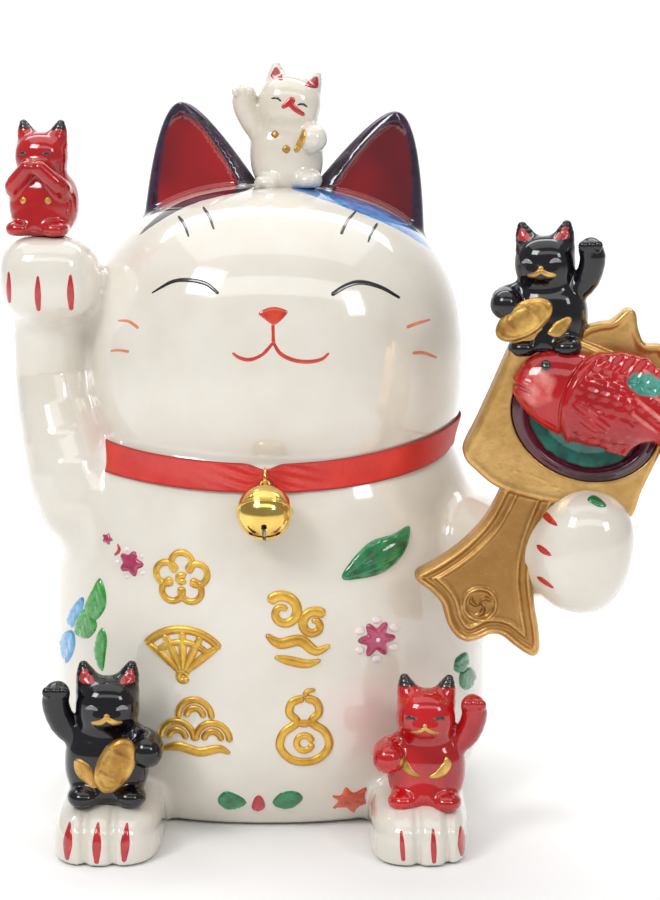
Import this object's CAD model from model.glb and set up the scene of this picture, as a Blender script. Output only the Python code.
"""Looks of the beckoning cat figurine.

Shapes are worked out in millimetres about the torso's own axis, as in the CAD, as signed distance fields
that are turned into smooth meshes. put() moves them into the frame."""
import bpy
import math
import numpy as np
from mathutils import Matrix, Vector, geometry


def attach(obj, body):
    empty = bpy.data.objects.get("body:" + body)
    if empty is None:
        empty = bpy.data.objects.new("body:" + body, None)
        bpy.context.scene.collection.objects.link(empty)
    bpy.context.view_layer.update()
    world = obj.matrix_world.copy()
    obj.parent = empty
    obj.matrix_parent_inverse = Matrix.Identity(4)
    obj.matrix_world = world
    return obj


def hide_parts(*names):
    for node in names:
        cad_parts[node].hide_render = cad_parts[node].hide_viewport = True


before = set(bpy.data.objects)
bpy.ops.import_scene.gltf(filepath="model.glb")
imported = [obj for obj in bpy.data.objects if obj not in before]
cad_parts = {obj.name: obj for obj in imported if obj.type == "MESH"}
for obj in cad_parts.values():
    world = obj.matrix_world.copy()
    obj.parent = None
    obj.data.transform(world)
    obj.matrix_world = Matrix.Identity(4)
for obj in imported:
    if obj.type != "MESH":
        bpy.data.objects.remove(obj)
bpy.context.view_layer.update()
SHIFT = np.array([-16.7, 6.2, 0.0])
f32 = np.float32


# ------------------------------------------------------------ fields
def smin(a, b, k):
    h = np.clip(0.5 + 0.5 * (b - a) / k, 0, 1)
    return b + (a - b) * h - k * h * (1 - h)


def smax(a, b, k):
    return -smin(-a, -b, k)


def turned(x, y, z, about, degrees, axis):
    """Coordinates in a frame that is turned by the angle about the point."""
    c, s = math.cos(math.radians(degrees)), math.sin(math.radians(degrees))
    x, y, z = x - about[0], y - about[1], z - about[2]
    if axis == "y":
        x, z = x * c - z * s, x * s + z * c
    elif axis == "z":
        x, y = x * c + y * s, -x * s + y * c
    else:
        y, z = y * c + z * s, -y * s + z * c
    return x + about[0], y + about[1], z + about[2]


def dome(d):
    """A superellipsoid with its own reach to the front, back, top and bottom."""
    def f(x, y, z):
        u, v, w = x - d["c"][0], y - d["c"][1], z - d["c"][2]
        b = np.where(v < 0, d["front"], d["back"])
        r = np.where(w > 0, d["up"], d["down"])
        level = (np.abs(u / d["a"]) ** d["plan"] + np.abs(v / b) ** d["plan"]) ** (d["side"] / d["plan"])
        g = (level + np.abs(w / r) ** d["side"]) ** (1 / d["side"])
        return (1 - 1 / np.maximum(g, 1e-3)) * np.sqrt(u * u + v * v + w * w)
    return f


def ball(c, r, p=2.0, turn=None):
    """An ellipsoid, or a squarer superellipsoid with p above 2. turn is (degrees, axis)."""
    r = (r, r, r) if np.isscalar(r) else r

    def f(x, y, z):
        if turn is not None:
            x, y, z = turned(x, y, z, c, *turn)
        u, v, w = (x - c[0]) / r[0], (y - c[1]) / r[1], (z - c[2]) / r[2]
        g = (np.abs(u) ** p + np.abs(v) ** p + np.abs(w) ** p) ** (1 / p)
        grad = np.sqrt((u / r[0]) ** 2 + (v / r[1]) ** 2 + (w / r[2]) ** 2)
        return g * (g - 1) / np.maximum(grad, 1e-4) if p == 2 else (g - 1) * min(r)
    return f


def between(a, b, c, d, u):
    """The Catmull-Rom point at the share u of the way from b to c."""
    return 0.5 * (2 * b + (c - a) * u + (2 * a - 5 * b + 4 * c - d) * u * u
                  + (3 * b - a - 3 * c + d) * u ** 3)


def spline(points, count):
    """Catmull-Rom points through the given rows (any number of columns)."""
    p = np.array(points, float)
    p = np.vstack([2 * p[0] - p[1], p, 2 * p[-1] - p[-2]])
    out = []
    spans = len(p) - 3
    for t in np.linspace(0, spans, count):
        i = min(int(t), spans - 1)
        u = t - i
        out.append(between(*p[i:i + 4], u))
    return np.array(out)


def limb(points, radii, count=9):
    """A rounded limb round a smooth path."""
    q = spline([(*p, r) for p, r in zip(points, radii)], count).astype(f32)

    def f(x, y, z):
        best = None
        for a, b in zip(q[:-1], q[1:]):
            d = b[:3] - a[:3]
            t = ((x - a[0]) * d[0] + (y - a[1]) * d[1] + (z - a[2]) * d[2]) / float(d @ d)
            t = np.clip(t, 0, 1)
            e = np.sqrt((x - a[0] - t * d[0]) ** 2 + (y - a[1] - t * d[1]) ** 2
                        + (z - a[2] - t * d[2]) ** 2)
            e = e - (a[3] + t * (b[3] - a[3]))
            best = e if best is None else np.minimum(best, e)
        return best
    return f


# ------------------------------------------------------------ meshing
def gradient(f, p, e=0.02):
    g = np.empty_like(p)
    for i in range(3):
        hi, lo = p.copy(), p.copy()
        hi[:, i] += e
        lo[:, i] -= e
        g[:, i] = (f(*hi.T) - f(*lo.T)) / (2 * e)
    return g


def settle(f, p, step, rounds=4):
    """Moves points on to the field's surface."""
    for _ in range(rounds):
        g = gradient(f, p)
        n2 = np.maximum((g * g).sum(1), 1e-6)
        move = g * (f(*p.T) / n2)[:, None]
        size = np.linalg.norm(move, axis=1)
        p = p - move * np.minimum(1, 0.6 * step / np.maximum(size, 1e-9))[:, None]
    return p


def net(f, lo, hi, step):
    """Naive surface nets: vertices and quads of the field's zero surface."""
    axes = [np.arange(a, b + step, step, dtype=f32) for a, b in zip(lo, hi)]
    v = f(*np.meshgrid(*axes, indexing="ij")).astype(f32)
    inside = v < 0
    n = np.array(v.shape)
    corners = [(i, j, k) for i in (0, 1) for j in (0, 1) for k in (0, 1)]
    count = sum(inside[i:n[0] - 1 + i, j:n[1] - 1 + j, k:n[2] - 1 + k].astype(np.int8)
                for i, j, k in corners)
    mixed = (count > 0) & (count < 8)
    cells = np.argwhere(mixed)
    index = np.full(mixed.shape, -1, np.int64)
    index[mixed] = np.arange(len(cells))
    total, hits = np.zeros((len(cells), 3)), np.zeros(len(cells))
    for a in corners:
        for axis in range(3):
            if a[axis] == 1:
                continue
            b = list(a)
            b[axis] = 1
            va = v[tuple((cells + a).T)]
            vb = v[tuple((cells + b).T)]
            cross = (va < 0) != (vb < 0)
            t = np.where(cross, va / np.where(cross, va - vb, 1), 0)
            point = cells + np.array(a, float)
            point[:, axis] += t
            total += point * cross[:, None]
            hits += cross
    p = np.array(lo) + total / hits[:, None] * step
    quads = []
    for axis in range(3):
        u, w = [i for i in range(3) if i != axis]
        sl0, sl1 = [slice(None)] * 3, [slice(None)] * 3
        sl0[axis], sl1[axis] = slice(0, -1), slice(1, None)
        s0, s1 = inside[tuple(sl0)], inside[tuple(sl1)]
        edges = np.argwhere(s0 != s1)
        keep = (edges[:, u] > 0) & (edges[:, w] > 0) & (edges[:, u] < n[u] - 1) & (edges[:, w] < n[w] - 1)
        edges = edges[keep]
        out = s0[tuple(edges.T)]
        ring = []
        for du, dw in ((-1, -1), (0, -1), (0, 0), (-1, 0)):
            c = edges.copy()
            c[:, u] += du
            c[:, w] += dw
            ring.append(index[tuple(c.T)])
        q = np.stack(ring, 1)
        flip = out if axis != 1 else ~out
        q[~flip] = q[~flip][:, ::-1]
        quads.append(q)
    return settle(f, p, step), np.vstack(quads)


def put(name, verts, faces, mat, normals=None, attrs=None, replaces=(), body="cat", slot=None, index=None):
    """Makes a piece from points in torso millimetres."""
    me = bpy.data.meshes.new(name)
    verts = (np.asarray(verts, float) + SHIFT) / 1000
    me.from_pydata(verts, [], faces.tolist() if isinstance(faces, np.ndarray) else faces)
    me.polygons.foreach_set("use_smooth", np.ones(len(me.polygons), bool))
    mats = mat if isinstance(mat, (list, tuple)) else [mat]
    for m in mats:
        me.materials.append(m)
    if index is not None:
        me.polygons.foreach_set("material_index", np.asarray(index, np.int32))
    for key, values in (attrs or {}).items():
        me.attributes.new(key, "FLOAT", "POINT").data.foreach_set("value", np.asarray(values, f32))
    me.update()
    if normals is not None:
        me.normals_split_custom_set_from_vertices(normals.tolist())
    o = bpy.data.objects.new(name, me)
    bpy.context.scene.collection.objects.link(o)
    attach(o, body)
    if replaces:
        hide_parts(*replaces)
    return o


def normals_of(f, p):
    g = gradient(f, p)
    return g / np.maximum(np.linalg.norm(g, axis=1), 1e-9)[:, None]


# ------------------------------------------------------------ materials
class Nodes:
    """A short way to write a shader."""
    def __init__(self, name):
        self.m = bpy.data.materials.new(name)
        self.m.use_nodes = True
        self.t = self.m.node_tree
        self.t.nodes.clear()
        self.out = self.t.nodes.new("ShaderNodeOutputMaterial")
        self.bsdf = self.add("ShaderNodeBsdfPrincipled")
        self.t.links.new(self.bsdf.outputs[0], self.out.inputs[0])
        self.where = self.add("ShaderNodeTexCoord").outputs["Object"]

    def add(self, kind, **props):
        n = self.t.nodes.new(kind)
        for k, v in props.items():
            setattr(n, k, v)
        return n

    def link(self, a, b):
        self.t.links.new(a, b)
        return b.node

    def set(self, n, **values):
        for k, v in values.items():
            s = n.inputs[k.replace("_", " ")]
            if hasattr(v, "links"):
                self.link(v, s)
            else:
                s.default_value = (*v, 1.0) if isinstance(v,
                                                          tuple) and len(v) == 3 and s.type == "RGBA" else v
        return n

    def noise(self, scale, detail=3.0, rough=0.5, distort=0.0):
        n = self.add("ShaderNodeTexNoise")
        self.set(n, Vector=self.where, Scale=scale, Detail=detail, Roughness=rough, Distortion=distort)
        return n.outputs[0]

    def attr(self, name):
        return self.add("ShaderNodeAttribute", attribute_name=name).outputs["Fac"]

    def attr3(self, name):
        return self.add("ShaderNodeAttribute", attribute_name=name).outputs["Vector"]

    def math(self, op, a, b=0.0, clamp=False):
        n = self.add("ShaderNodeMath", operation=op, use_clamp=clamp)
        for s, v in zip(n.inputs, (a, b)):
            if hasattr(v, "links"):
                self.link(v, s)
            else:
                s.default_value = v
        return n.outputs[0]

    def ramp(self, value, low, high):
        """0 below low and 1 above high."""
        n = self.add("ShaderNodeMapRange")
        self.set(n, Value=value, From_Min=low, From_Max=high)
        return n.outputs[0]

    def mix(self, fac, a, b):
        n = self.add("ShaderNodeMix", data_type="RGBA")
        for s, v in ((n.inputs[0], fac), (n.inputs[6], a), (n.inputs[7], b)):
            if hasattr(v, "links"):
                self.link(v, s)
            elif isinstance(v, tuple):
                s.default_value = (*v, 1.0)
            else:
                s.default_value = v
        return n.outputs[2]

    def bump(self, height, strength, distance=0.0002):
        n = self.add("ShaderNodeBump")
        self.set(n, Height=height, Strength=strength, Distance=distance)
        self.link(n.outputs[0], self.bsdf.inputs["Normal"])
        return n


def glaze(name, base, deep=None, rough=0.07, coat=1.0, speck=0.04, paint=None, wave=0.12):
    """Glazed porcelain: a colour that pools a little, small specks, soft ripples and a clear coat."""
    n = Nodes(name)
    deep = deep or tuple(c * 0.86 for c in base)
    cloud = n.ramp(n.noise(55, 4, 0.55), 0.35, 0.68)
    colour = n.mix(cloud, deep, base)
    dots = n.ramp(n.noise(1400, 1, 0.5), 0.70, 0.78)
    colour = n.mix(n.math("MULTIPLY", dots, speck), colour, tuple(c * 0.45 for c in base))
    if paint:
        colour = paint(n, colour)
    n.set(n.bsdf, Base_Color=colour, Coat_Weight=coat, Coat_Roughness=0.03, IOR=1.5,
          Roughness=n.math("ADD", n.math("MULTIPLY", n.noise(260, 2), 0.08), rough))
    n.bump(n.noise(70, 2, 0.4), wave, 0.0006)
    return n.m


# ------------------------------------------------------------ the big cat's form
TORSO = dict(c=(0, 0, 28), a=50.0, front=42.0, back=43.0, up=71.3, down=35.0, plan=2.3, side=3.1)
HEAD = dict(c=(0.4, 0, 97.6), a=43.2, front=37.0, back=37.0, up=42.2, down=30.5, plan=2.2, side=2.5)
NECK, TILT = 79.5, 2.5
RAISED_PAW = (-48.2, -14.0, 120.5)
torso_raw, head_raw = dome(TORSO), dome(HEAD)


def torso(x, y, z):
    return smax(torso_raw(x, y, z), -z, 1.6)


def head(x, y, z):
    return head_raw(*turned(x, y, z, (0, 0, NECK), TILT, "y"))


raised_limb = limb([(-32, -15, 60), (-41.3, -17, 71), (-45.8, -14, 83), (-49.2, -9.5, 98),
                    (-48.9, -11, 117)],
                   [10.0, 10.4, 9.4, 7.9, 7.8])
raised_paw = ball(RAISED_PAW, (10.9, 11.5, 9.8), 2.7)
holding_limb = limb([(30, -4, 62), (44, -16, 61), (56, -32, 62), (66.2, -42.5, 65.2)],
                    [12.0, 11.6, 10.4, 10.0])
holding_paw = ball((67.9, -46.5, 65.4), (10.3, 10.5, 13.4), 2.3, (11.5, "y"))


def raised_arm(x, y, z):
    d = smin(raised_limb(x, y, z), raised_paw(x, y, z), 4.0)
    return smax(d, z - RAISED_PAW[2] - 9.2, 1.0)


def holding_arm(x, y, z):
    return smin(holding_limb(x, y, z), holding_paw(x, y, z), 4.0)


def foot(side):
    """A blunt foot whose toes bulge a little between two grooves."""
    cx, half, grooves = (-34.1, 11.6, (-4.0, 2.0)) if side < 0 else (33.2, 10.7, (-0.8, 5.6))

    def f(x, y, z):
        u, v, w = (x - cx) / half, (y + 37) / 25.0, (z - 3.6) / (8.1 + 0.05 * (y + 62))
        g = (np.abs(u) ** 3.2 + np.abs(v) ** 4.5 + np.abs(w) ** 3.0) ** (1 / 3.2)
        d = (g - 1) * 9.0
        groove = np.minimum(np.abs(x - cx - grooves[0]), np.abs(x - cx - grooves[1]))
        d = d + 0.7 * np.exp(-(groove / 0.9) ** 2) * np.clip((-50 - y) / 8, 0, 1)
        return smax(d, -z, 1.2)
    return f


left_foot, right_foot = foot(-1), foot(1)
tail = limb([(2, 38, 8), (16, 44.5, 9), (27, 42, 15), (31, 37, 24)], [5.0, 5.2, 4.8, 4.2])


def ear_parts(side):
    """(the ear, the scoop in front of it) as fields, upright in the head's untilted frame."""
    top = 157.6

    def outline(x, z, drop, out, shrink):
        fall = np.maximum(top - drop - z, 0.0)
        w = np.maximum(2.18 * np.sqrt(fall) + 0.18 * fall + 0.05 - shrink, 0.3)
        return ((x - 1.2 - side * (24.2 - 0.31 * (top - z) + out)) / w, w,
                0.36 + 0.64 * np.clip((top - z) / 28, 0, 1))

    def outer(x, y, z):
        x, y, z = turned(x, y, z, (0, 0, NECK), TILT, "y")
        r, w, thick = outline(x, z, 0.0, 0.0, 0.0)
        v = y - 4.0
        d = np.where(v < 0, 6.5, 7.5) * thick
        g = (np.abs(r) ** 2.2 + np.abs(v / d) ** 2.2) ** (1 / 2.2)
        f = smax((g - 1) * np.minimum(np.maximum(w, 0.6), d) * 1.1, z - top, 0.5)
        return smax(f, 120 - z, 3.0)

    def scoop(x, y, z):
        x, y, z = turned(x, y, z, (0, 0, NECK), TILT, "y")
        down = np.clip(top - 4 - z, 0, 30)
        r, w, thick = outline(x, z, 2.6, 0.75 + 0.085 * down, 0.4 + 0.075 * down)
        wall = y - 4.0 + 6.5 * thick * (0.5 + 0.14 * np.minimum(r * r, 1.5))
        f = smax((np.abs(r) - 1) * w * 0.85, z - (top - 2.6), 1.0)
        return smax(smax(f, wall, 0.8), 122 - z, 2.0)
    return outer, scoop


ears = {side: ear_parts(side) for side in (-1, 1)}


def ear(side):
    outer, scoop = ears[side]

    def f(x, y, z):
        return smax(outer(x, y, z), -scoop(x, y, z), 0.7)
    return f


left_ear, right_ear = ear(-1), ear(1)


def cat_field(x, y, z):
    d = smin(head(x, y, z), torso(x, y, z), 1.2)
    d = smin(d, raised_arm(x, y, z), 3.5)
    d = smin(d, holding_arm(x, y, z), 4.5)
    d = smin(d, np.minimum(left_foot(x, y, z), right_foot(x, y, z)), 2.2)
    d = smin(d, tail(x, y, z), 2.5)
    d = smin(d, np.minimum(left_ear(x, y, z), right_ear(x, y, z)), 1.4)
    return smax(d, -z, 0.5)


# ------------------------------------------------------------ the big cat's mesh
PARTS = {"torso_shell": torso, "head_shell": head, "left_ear": left_ear, "right_ear": right_ear,
         "raised_arm": raised_arm, "holding_arm": holding_arm, "left_foot": left_foot,
         "right_foot": right_foot,
         "tail": tail}


def white_paint(n, colour):
    """Paint that is brushed on the white glaze, driven by distances held on the mesh."""
    edge = n.math("MULTIPLY", n.math("SUBTRACT", n.noise(900, 3, 0.6), 0.5), 0.9)
    streak = n.ramp(n.noise(420, 3), 0.35, 0.65)
    for key, light, dark, shift in (("blue", (0.09, 0.36, 0.74), (0.03, 0.16, 0.50), 1.0),
                                    ("dark", (0.045, 0.016, 0.055), (0.010, 0.007, 0.016), 0.9),
                                    ("tip", (0.03, 0.028, 0.035), (0.012, 0.012, 0.015), 2.0)):
        d = n.math("ADD", n.attr(key), n.math("MULTIPLY", edge, shift))
        colour = n.mix(n.ramp(d, 0.14, -0.14), colour, n.mix(streak, dark, light))
    red = n.mix(n.ramp(n.noise(34, 2), 0.36, 0.62), (0.14, 0.002, 0.008), (0.40, 0.005, 0.010))
    d = n.math("ADD", n.attr("scoop"), n.math("MULTIPLY", edge, 0.25))
    colour = n.mix(n.ramp(d, 0.12, -0.12), colour, red)
    blush = n.ramp(n.attr("blush"), 1.0, 0.0)
    return n.mix(n.math("MULTIPLY", blush, 0.4), colour, (0.93, 0.50, 0.47))


WHITE = glaze("white_glaze", (0.82, 0.78, 0.705), (0.75, 0.70, 0.61), paint=white_paint)
BLUE_BAND = limb([(9.9, -5.3, 139.1), (15, -9, 137.8), (21.7, -10.5, 135.9), (28.4, -9.2, 132.9),
                  (33.7, -6.2, 129.5),
                  (37.6, 0.6, 125.7)], [4.6, 5.0, 4.9, 4.8, 4.3, 1.6], 12)
DARK_BAND = limb([(-1.3, -6.6, 139.8), (-8.3, -9.2, 138.8), (-17.1, -10.3, 136.7), (-22.2, -11.7, 134.1),
                  (-25.9, -12.8, 131.3), (-29.0, -13.4, 128.3)], [0.9, 2.2, 2.6, 2.2, 1.3, 0.3], 12)


def make_cat():
    step = 0.75
    p, q = net(cat_field, (-61, -64, -2), (81, 53, 160), step)
    nrm = normals_of(cat_field, p)
    mid = p[q].mean(1)
    dist = np.stack([f(*mid.T) for f in PARTS.values()], 1)
    dist[:, 1] += np.where(mid[:, 2] < NECK, 50, 0)
    dist[:, 0] += np.where(mid[:, 2] > NECK, 50, 0)
    label = dist.argmin(1)
    x, y, z = p.T
    skin = np.minimum(ears[-1][0](x, y, z), ears[1][0](x, y, z))
    attrs = {"blue": BLUE_BAND(x, y, z), "dark": np.minimum(skin - 0.7, DARK_BAND(x, y, z)),
             "tip": np.maximum(np.sqrt((x - 31) ** 2 + (y - 37) ** 2 + (z - 24) ** 2) - 11.0,
                               tail(x, y, z) - 0.8),
             "blush": np.minimum(np.sqrt((x + 39) ** 2 + (y + 14) ** 2 + (z - 85) ** 2) / 9,
                                 np.sqrt((x - 21) ** 2 + (y + 38) ** 2 + (z - 27) ** 2) / 11),
             "scoop": np.maximum(np.minimum(ears[-1][1](x, y, z), ears[1][1](x, y, z)) - 0.35, skin + 0.25)}
    for i, name in enumerate(PARTS):
        faces = q[label == i]
        used, back = np.unique(faces, return_inverse=True)
        put(name.replace("_shell", "") + "_porcelain", p[used], back.reshape(faces.shape), WHITE, nrm[used],
            {k: v[used] for k, v in attrs.items()}, [name],
            slot="ear_glaze" if "ear" in name else "white_glaze")


make_cat()


# ------------------------------------------------------------ paint and reliefs that follow a surface
def project(f, x, z, start=-75.0):
    """The first surface met on lines that run from the front to the back."""
    y = np.full(x.shape, start, float)
    for _ in range(70):
        y = np.minimum(y + np.clip(f(x, y, z) * 0.7, -0.6, 3.0), 40.0)
    return y


def lay(f, x, z, rise, start=-75.0):
    """Points that stand off the surface by rise, and the surface's normals there."""
    p = settle(f, np.stack([x, project(f, x, z, start), z], 1), 0.6, 2)
    n = normals_of(f, p)
    return p + n * rise[:, None], n


def stroke(f, path, rise=0.1, pitch=0.35, start=-75.0, blunt=1.0):
    """One brush stroke along (across, up, width) points, with a domed section and round or drawn-out ends."""
    q = spline(path, 60)
    length = np.concatenate([[0], np.cumsum(np.hypot(*np.diff(q[:, :2], axis=0).T))])
    count = max(6, int(length[-1] / pitch))
    at = np.linspace(0, length[-1], count)
    q = np.stack([np.interp(at, length, q[:, i]) for i in range(3)], 1)
    d = np.gradient(q[:, :2], axis=0)
    d /= np.maximum(np.linalg.norm(d, axis=1), 1e-9)[:, None]
    half = q[:, 2] / 2
    end = np.minimum(at, length[-1] - at)
    r = np.maximum(half * blunt, 1e-3)
    half = half * np.sqrt(np.clip(1 - (1 - np.minimum(end / r, 1)) ** 2, 0.003, 1))
    us = np.array([-1, -0.86, -0.5, 0, 0.5, 0.86, 1])
    x = q[:, 0:1] - d[:, 1:2] * half[:, None] * us
    z = q[:, 1:2] + d[:, 0:1] * half[:, None] * us
    tall = rise * np.sqrt(np.clip(1 - us ** 2, 0, 1)) * np.minimum(1, half / 0.3)[:, None] - 0.03
    verts, _ = lay(f, x.ravel(), z.ravel(), tall.ravel(), start)
    m = len(us)
    i = np.arange(count - 1)[:, None] * m + np.arange(m - 1)
    faces = np.stack([i, i + m, i + m + 1, i + 1], -1).reshape(-1, 4)
    hit = project(f, x.ravel(), z.ravel(), start) < 39
    return verts, faces[hit[faces].all(1)]


def fill(f, outline, rise=0.3, pitch=0.5, edge=0.5, start=-75.0, ribs=None):
    """A filled outline of (across, up) points, laid on the surface with a rounded edge."""
    o = np.array(outline, float)
    a, b = o, np.roll(o, -1, 0)

    def depth(pts):
        ab, ap = (b - a)[None], pts[:, None] - a[None]
        t = np.clip((ap * ab).sum(-1) / np.maximum((ab * ab).sum(-1), 1e-9), 0, 1)
        return np.linalg.norm(ap - ab * t[..., None], axis=-1).min(1)

    def inside(pts):
        x, z = pts[:, 0:1], pts[:, 1:2]
        up = (a[:, 1] > z) != (b[:, 1] > z)
        cut = a[:, 0] + (z - a[:, 1]) / np.where(b[:, 1] == a[:, 1], 1e-9,
                                                 b[:, 1] - a[:, 1]) * (b[:, 0] - a[:, 0])
        return (up & (x < cut)).sum(1) % 2 == 1
    lo, hi = o.min(0), o.max(0)
    gx, gz = np.meshgrid(np.arange(lo[0], hi[0], pitch), np.arange(lo[1], hi[1], pitch * 0.87))
    gx[1::2] += pitch / 2
    g = np.stack([gx.ravel(), gz.ravel()], 1)
    g = g[inside(g)]
    g = g[depth(g) > 0.35 * pitch]
    pts = [Vector(v) for v in np.vstack([o, g]).tolist()]
    n = len(o)
    v, _, faces, *_ = geometry.delaunay_2d_cdt(pts, [(i, (i + 1) % n) for i in range(n)], [], 1, 1e-5)
    v = np.array([tuple(c) for c in v])
    dep = depth(v)
    u = np.minimum(dep / edge, 1)
    tall = rise * np.sqrt(np.clip(1 - (1 - u) ** 2, 0, 1)) - 0.03
    if ribs is not None:
        tall = tall + ribs(v, dep)
    verts, _ = lay(f, v[:, 0], v[:, 1], tall, start)
    hit = project(f, v[:, 0], v[:, 1], start) < 39
    return verts, [tuple(reversed(t)) for t in faces if all(hit[i] for i in t)]


def join(parts):
    """One mesh from several (vertices, faces)."""
    verts, faces, base = [], [], 0
    for v, f in parts:
        verts.append(v)
        faces += [tuple(int(i) + base for i in face) for face in f]
        base += len(v)
    return np.vstack(verts), faces


def smooth_loop(points, count=48):
    """A closed smooth outline through the points."""
    p = np.array(points, float)[:, :2]
    m = len(p)
    out = []
    for t in np.linspace(0, m, count, endpoint=False):
        i, u = int(t), t - int(t)
        out.append(between(*(p[(i + k) % m] for k in (-1, 0, 1, 2)), u))
    return np.array(out)


def enamel(name, base, deep, rough=0.12):
    """Thick glossy overglaze enamel that is darker where it pools."""
    n = Nodes(name)
    n.set(n.bsdf, Base_Color=n.mix(n.ramp(n.noise(330, 3), 0.3, 0.7), deep, base), Coat_Weight=1.0,
          Coat_Roughness=0.04, Roughness=n.math("ADD", n.math("MULTIPLY", n.noise(700, 2), 0.15), rough))
    n.bump(n.noise(500, 2), 0.25, 0.0003)
    return n.m


def gilding(name, light=(0.83, 0.52, 0.13), dark=(0.42, 0.20, 0.035), rough=0.28, paint=None):
    """Fired gold paint: satin metal over the glaze, thinner and browner in patches, with fine brush marks."""
    n = Nodes(name)
    patch = n.ramp(n.noise(160, 5, 0.65), 0.36, 0.66)
    colour = n.mix(patch, dark, light)
    n.set(n.bsdf, Base_Color=paint(n, colour) if paint else colour, Metallic=0.82,
          Roughness=n.math("ADD", n.math("MULTIPLY", n.noise(900, 3), 0.22), rough))
    n.bump(n.noise(620, 4, 0.6), 0.35, 0.0003)
    return n.m


BLACK_LINE = enamel("black_line_enamel", (0.02, 0.018, 0.018), (0.006, 0.005, 0.006))
RED_LINE = enamel("red_line_enamel", (0.72, 0.07, 0.025), (0.50, 0.02, 0.012))
ORANGE_LINE = enamel("orange_line_enamel", (0.80, 0.30, 0.14), (0.66, 0.18, 0.08))
CLAW_RED = enamel("claw_red_enamel", (0.62, 0.02, 0.025), (0.42, 0.008, 0.012))
GOLD = gilding("relief_gold", (0.92, 0.60, 0.12), (0.62, 0.33, 0.05))
GREEN = enamel("green_enamel", (0.02, 0.30, 0.10), (0.004, 0.10, 0.03))
LIGHT_GREEN = enamel("light_green_enamel", (0.07, 0.46, 0.07), (0.015, 0.22, 0.03))
BLUE = enamel("blue_enamel", (0.16, 0.48, 0.78), (0.05, 0.25, 0.55))
PINK = enamel("pink_enamel", (0.55, 0.045, 0.15), (0.30, 0.010, 0.06))
PALE = enamel("pale_petal_enamel", (0.90, 0.84, 0.82), (0.82, 0.66, 0.68))
CRIMSON = enamel("crimson_enamel", (0.60, 0.02, 0.05), (0.35, 0.008, 0.02))
ORANGE = enamel("orange_leaf_enamel", (0.80, 0.13, 0.03), (0.60, 0.05, 0.015))


def lined(points, widths):
    """(across, up, width) rows."""
    w = [widths] * len(points) if np.isscalar(widths) else widths
    return [(x, z, v) for (x, z), v in zip(points, w)]


def paint_face():
    black = [
        stroke(head, lined([(-24.9, 118.2), (-20.2, 120.9), (-16.4, 121.4), (-12.6, 120.7), (-9.9, 118.7)],
                           [0.35, 0.8, 0.95, 0.95, 0.75]), 0.12),
        stroke(head, lined([(14.1, 118.4), (17.2, 120.2), (20.5, 120.9), (24.8, 119.7), (29.2, 117.1)],
                           [0.95, 1.1, 1.1, 0.9, 0.6]), 0.12),
        stroke(head, lined([(-19.7, 134.2), (-18.0, 132.6), (-16.7, 130.0)], [0.5, 0.75, 0.4]), 0.1),
        stroke(head, lined([(-14.2, 136.2), (-12.4, 134.2), (-11.2, 131.6)], [0.5, 0.75, 0.4]), 0.1),
        stroke(head, lined([(19.8, 135.2), (17.6, 133.2), (16.2, 130.6)], [0.4, 0.75, 0.75]), 0.1),
        stroke(head, lined([(24.5, 132.6), (23.0, 130.8), (22.1, 128.7)], [0.6, 0.7, 0.35]), 0.1)]
    put("face_black_lines", *join(black), BLACK_LINE)
    red = [
        fill(head, smooth_loop([(-1.4, 114.7), (-0.2, 115.7), (1.7, 116.2), (3.6, 115.9), (4.9, 115.1),
                                (3.9, 113.7),
                                (2.0, 112.3), (0.1, 113.4)], 32), 0.22, 0.4, 0.7),
        stroke(head, lined([(1.7, 112.7), (1.75, 110.6), (1.8, 108.4)], [0.8, 0.75, 0.9]), 0.12),
        stroke(head, lined([(1.9, 108.8), (-0.4, 106.3), (-3.2, 105.0), (-5.5, 105.4), (-7.1, 106.5)],
                           [0.7, 0.9, 0.9, 0.85, 0.55]), 0.12),
        stroke(head, lined([(1.7, 108.8), (3.3, 106.3), (6.1, 104.9), (9.3, 104.5), (12.1, 105.0),
                            (13.8, 106.4)],
                           [0.7, 0.95, 0.95, 0.95, 0.8, 0.5]), 0.12)]
    put("face_red_lines", *join(red), RED_LINE)
    whisker = [stroke(head, lined(pts, w), 0.08) for pts, w in (
        ([(30.4, 110.8), (33.1, 111.5), (36.1, 111.9)], [0.9, 0.85, 0.5]),
        ([(31.7, 105.2), (34.4, 104.9), (37.6, 103.3)], [0.8, 0.8, 0.55]),
        ([(-32.8, 111.7), (-30.1, 111.9), (-27.5, 110.6)], [0.4, 0.75, 0.8]),
        ([(-34.6, 104.9), (-32.3, 105.4), (-29.7, 105.4)], [0.4, 0.7, 0.7]))]
    put("face_whiskers", *join(whisker), ORANGE_LINE)


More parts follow.
